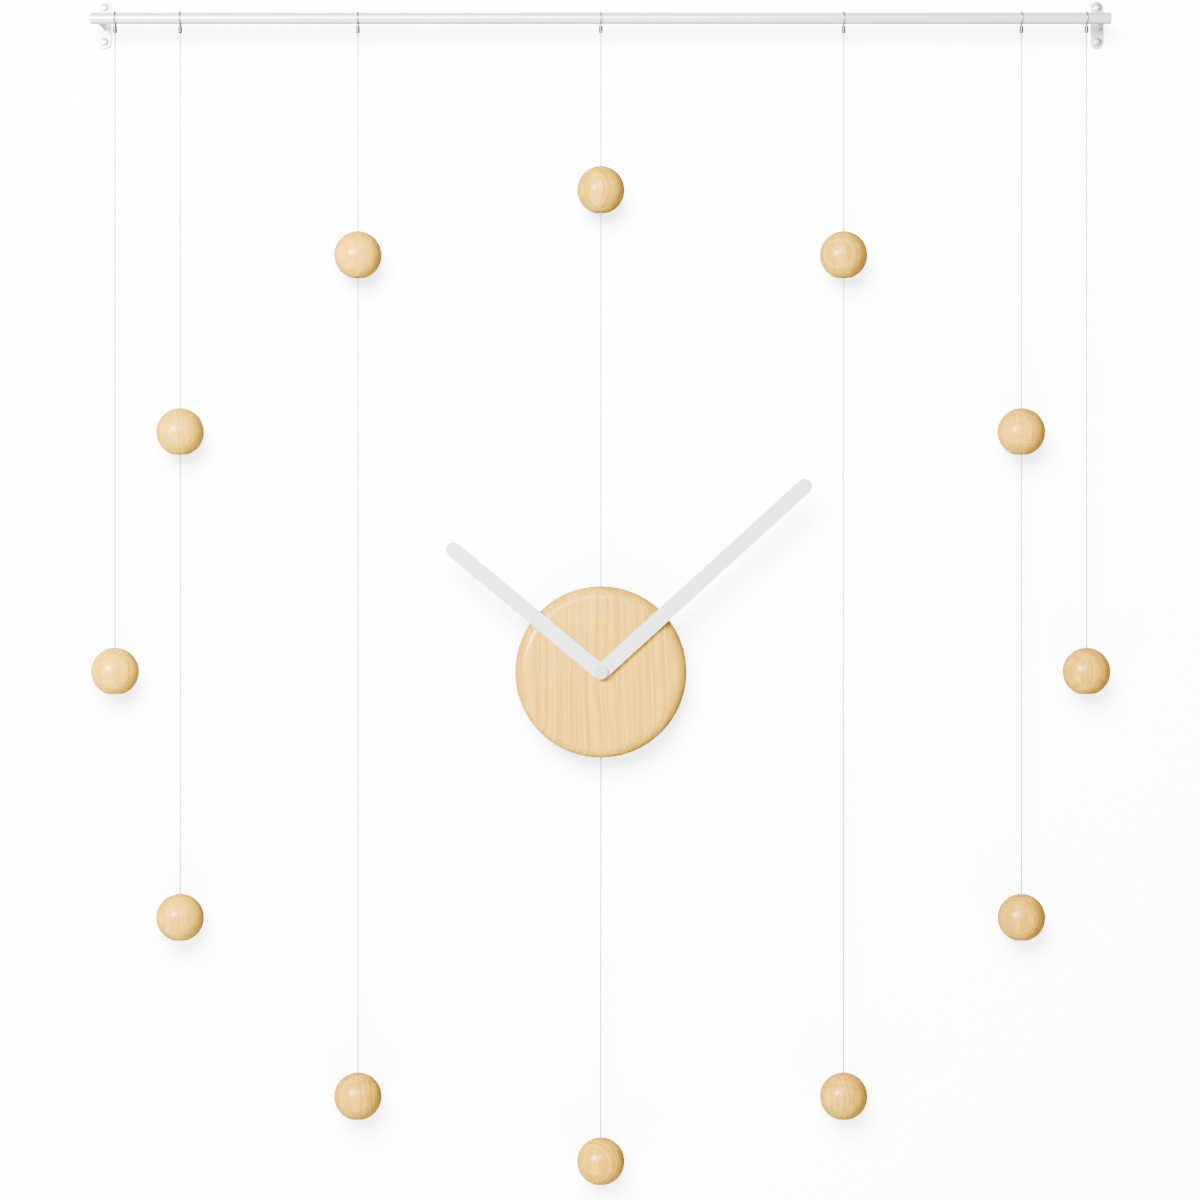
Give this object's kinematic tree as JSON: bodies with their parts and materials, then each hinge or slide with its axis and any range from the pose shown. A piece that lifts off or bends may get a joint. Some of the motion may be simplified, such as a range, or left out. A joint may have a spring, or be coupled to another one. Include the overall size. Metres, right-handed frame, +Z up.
{
  "type": "hanging wall clock",
  "caption": "Wall clock of wooden balls hung as hour marks on fine wires from a steel rod, with a wooden disc that holds the movement and two plain hands.",
  "frame": {"origin": "on the wall plane, midway between the two brackets, level with the rod's axis", "axes": "+X to the right as the clock is looked at, along the rod; +Y into the wall; +Z up"},
  "size_m": [0.75, 0.0636, 0.8742],
  "materials": {
    "coated_steel": "satin silver-grey powder coat",
    "zinc_screw": "bright zinc plate",
    "chrome_ferrule": "polished chrome",
    "steel_wire": "drawn steel wire",
    "beech": "beech with a satin clear lacquer, grain upright",
    "hand_lacquer": "light grey satin lacquer on aluminium sheet",
    "case_plastic": "fine-textured black",
    "gear_plastic": "natural acetal",
    "brass": "stamped sheet",
    "magnet": "sintered magnet",
    "soft_iron": "annealed sheet",
    "copper_winding": "enamelled copper wire, wound",
    "circuit_board": "green solder mask",
    "battery_sleeve": "plain printed sleeve, no marks"
  },
  "bodies": {
    "hanger": {"rod": "coated_steel", "bracket_left": "coated_steel", "bracket_right": "coated_steel", "wall_screw_left_top": "zinc_screw", "wall_screw_left_bottom": "zinc_screw", "wall_screw_right_top": "zinc_screw", "wall_screw_right_bottom": "zinc_screw"},
    "loop_9": {"eye_9": "chrome_ferrule"},
    "line_9": {"wire_9": "steel_wire", "ball_9": "beech"},
    "loop_10": {"eye_10": "chrome_ferrule"},
    "line_10": {"wire_10": "steel_wire", "ball_10": "beech", "ball_8": "beech"},
    "loop_11": {"eye_11": "chrome_ferrule"},
    "line_11": {"wire_11": "steel_wire", "ball_11": "beech", "ball_7": "beech"},
    "loop_12": {"eye_12": "chrome_ferrule"},
    "line_12": {"wire_12": "steel_wire", "ball_12": "beech", "disc": "beech", "anchor_6": "steel_wire", "case_front": "case_plastic", "case_back": "case_plastic", "middle_plate": "brass", "movement_screw_left": "zinc_screw", "movement_screw_right": "zinc_screw", "battery": "battery_sleeve", "contact_plus": "brass", "contact_minus": "brass", "circuit_board": "circuit_board", "crystal": "zinc_screw", "coil": "copper_winding", "coil_core": "soft_iron", "stator": "soft_iron"},
    "loop_1": {"eye_1": "chrome_ferrule"},
    "line_1": {"wire_1": "steel_wire", "ball_1": "beech", "ball_5": "beech"},
    "loop_2": {"eye_2": "chrome_ferrule"},
    "line_2": {"wire_2": "steel_wire", "ball_2": "beech", "ball_4": "beech"},
    "loop_3": {"eye_3": "chrome_ferrule"},
    "line_3": {"wire_3": "steel_wire", "ball_3": "beech"},
    "tail_6": {"wire_6": "steel_wire", "ball_6": "beech"},
    "minute_works": {"centre_wheel": "gear_plastic", "minute_hand": "hand_lacquer", "cap": "hand_lacquer"},
    "hour_works": {"hour_wheel": "gear_plastic", "hour_hand": "hand_lacquer"},
    "setting_works": {"minute_wheel": "gear_plastic", "set_knob": "case_plastic"},
    "third_works": {"third_wheel": "gear_plastic"},
    "fourth_works": {"fourth_wheel": "gear_plastic"},
    "intermediate_works": {"intermediate_wheel": "gear_plastic"},
    "rotor_works": {"rotor": "magnet"}
  },
  "joints": [
    {"name": "swing_9", "type": "hinge", "parent": "hanger", "child": "loop_9", "pos_m": [-0.357, -0.028, 0], "axis": [-1, 0, 0], "range_deg": [-1.2, 90]},
    {"name": "sway_9", "type": "hinge", "parent": "loop_9", "child": "line_9", "pos_m": [-0.357, -0.028, -0.0111], "axis": [0, -1, 0], "range_deg": [-9.5, 3.3]},
    {"name": "swing_10", "type": "hinge", "parent": "hanger", "child": "loop_10", "pos_m": [-0.30917, -0.028, 0], "axis": [-1, 0, 0], "range_deg": [-0.9, 90]},
    {"name": "sway_10", "type": "hinge", "parent": "loop_10", "child": "line_10", "pos_m": [-0.30917, -0.028, -0.0111], "axis": [0, -1, 0], "range_deg": [-3.3, 9.5]},
    {"name": "swing_11", "type": "hinge", "parent": "hanger", "child": "loop_11", "pos_m": [-0.1785, -0.028, 0], "axis": [-1, 0, 0], "range_deg": [-0.7, 90]},
    {"name": "sway_11", "type": "hinge", "parent": "loop_11", "child": "line_11", "pos_m": [-0.1785, -0.028, -0.0111], "axis": [0, -1, 0], "range_deg": [-9.5, 9.5]},
    {"name": "swing_12", "type": "hinge", "parent": "hanger", "child": "loop_12", "pos_m": [0, -0.028, 0], "axis": [-1, 0, 0], "range_deg": [-0.7, 90]},
    {"name": "sway_12", "type": "hinge", "parent": "loop_12", "child": "line_12", "pos_m": [0, -0.028, -0.0111], "axis": [0, -1, 0], "range_deg": [-9.5, 9.5]},
    {"name": "swing_1", "type": "hinge", "parent": "hanger", "child": "loop_1", "pos_m": [0.1785, -0.028, 0], "axis": [-1, 0, 0], "range_deg": [-0.7, 90]},
    {"name": "sway_1", "type": "hinge", "parent": "loop_1", "child": "line_1", "pos_m": [0.1785, -0.028, -0.0111], "axis": [0, -1, 0], "range_deg": [-9.5, 9.5]},
    {"name": "swing_2", "type": "hinge", "parent": "hanger", "child": "loop_2", "pos_m": [0.30917, -0.028, 0], "axis": [-1, 0, 0], "range_deg": [-0.9, 90]},
    {"name": "sway_2", "type": "hinge", "parent": "loop_2", "child": "line_2", "pos_m": [0.30917, -0.028, -0.0111], "axis": [0, -1, 0], "range_deg": [-9.5, 3.3]},
    {"name": "swing_3", "type": "hinge", "parent": "hanger", "child": "loop_3", "pos_m": [0.357, -0.028, 0], "axis": [-1, 0, 0], "range_deg": [-1.2, 90]},
    {"name": "sway_3", "type": "hinge", "parent": "loop_3", "child": "line_3", "pos_m": [0.357, -0.028, -0.0111], "axis": [0, -1, 0], "range_deg": [-3.3, 9.5]},
    {"name": "tail_sway", "type": "hinge", "parent": "line_12", "child": "tail_6", "pos_m": [0, -0.028, -0.5433], "axis": [0, -1, 0], "range_deg": [-15, 15]},
    {"name": "minute_turn", "type": "hinge", "parent": "line_12", "child": "minute_works", "pos_m": [0, -0.03, -0.4803], "axis": [0, 1, 0], "continuous": true},
    {"name": "hour_turn", "type": "hinge", "parent": "line_12", "child": "hour_works", "pos_m": [0, -0.03, -0.4803], "axis": [0, 1, 0], "continuous": true},
    {"name": "setting_turn", "type": "hinge", "parent": "line_12", "child": "setting_works", "pos_m": [0.01, -0.03, -0.4803], "axis": [0, 1, 0], "continuous": true},
    {"name": "third_turn", "type": "hinge", "parent": "line_12", "child": "third_works", "pos_m": [-0.00818, -0.03, -0.47558], "axis": [0, 1, 0], "continuous": true},
    {"name": "fourth_turn", "type": "hinge", "parent": "line_12", "child": "fourth_works", "pos_m": [0, -0.03, -0.4803], "axis": [0, 1, 0], "continuous": true},
    {"name": "intermediate_turn", "type": "hinge", "parent": "line_12", "child": "intermediate_works", "pos_m": [0.00378, -0.03, -0.47375], "axis": [0, 1, 0], "continuous": true},
    {"name": "rotor_turn", "type": "hinge", "parent": "line_12", "child": "rotor_works", "pos_m": [0.00487, -0.03, -0.46755], "axis": [0, 1, 0], "continuous": true}
  ],
  "couplings": [
    {"joint": "hour_turn", "follows": "minute_turn", "ratio": 0.083333},
    {"joint": "setting_turn", "follows": "minute_turn", "ratio": -0.33333},
    {"joint": "third_turn", "follows": "minute_turn", "ratio": -8},
    {"joint": "fourth_turn", "follows": "minute_turn", "ratio": 60},
    {"joint": "intermediate_turn", "follows": "minute_turn", "ratio": -300},
    {"joint": "rotor_turn", "follows": "minute_turn", "ratio": 1800}
  ]
}
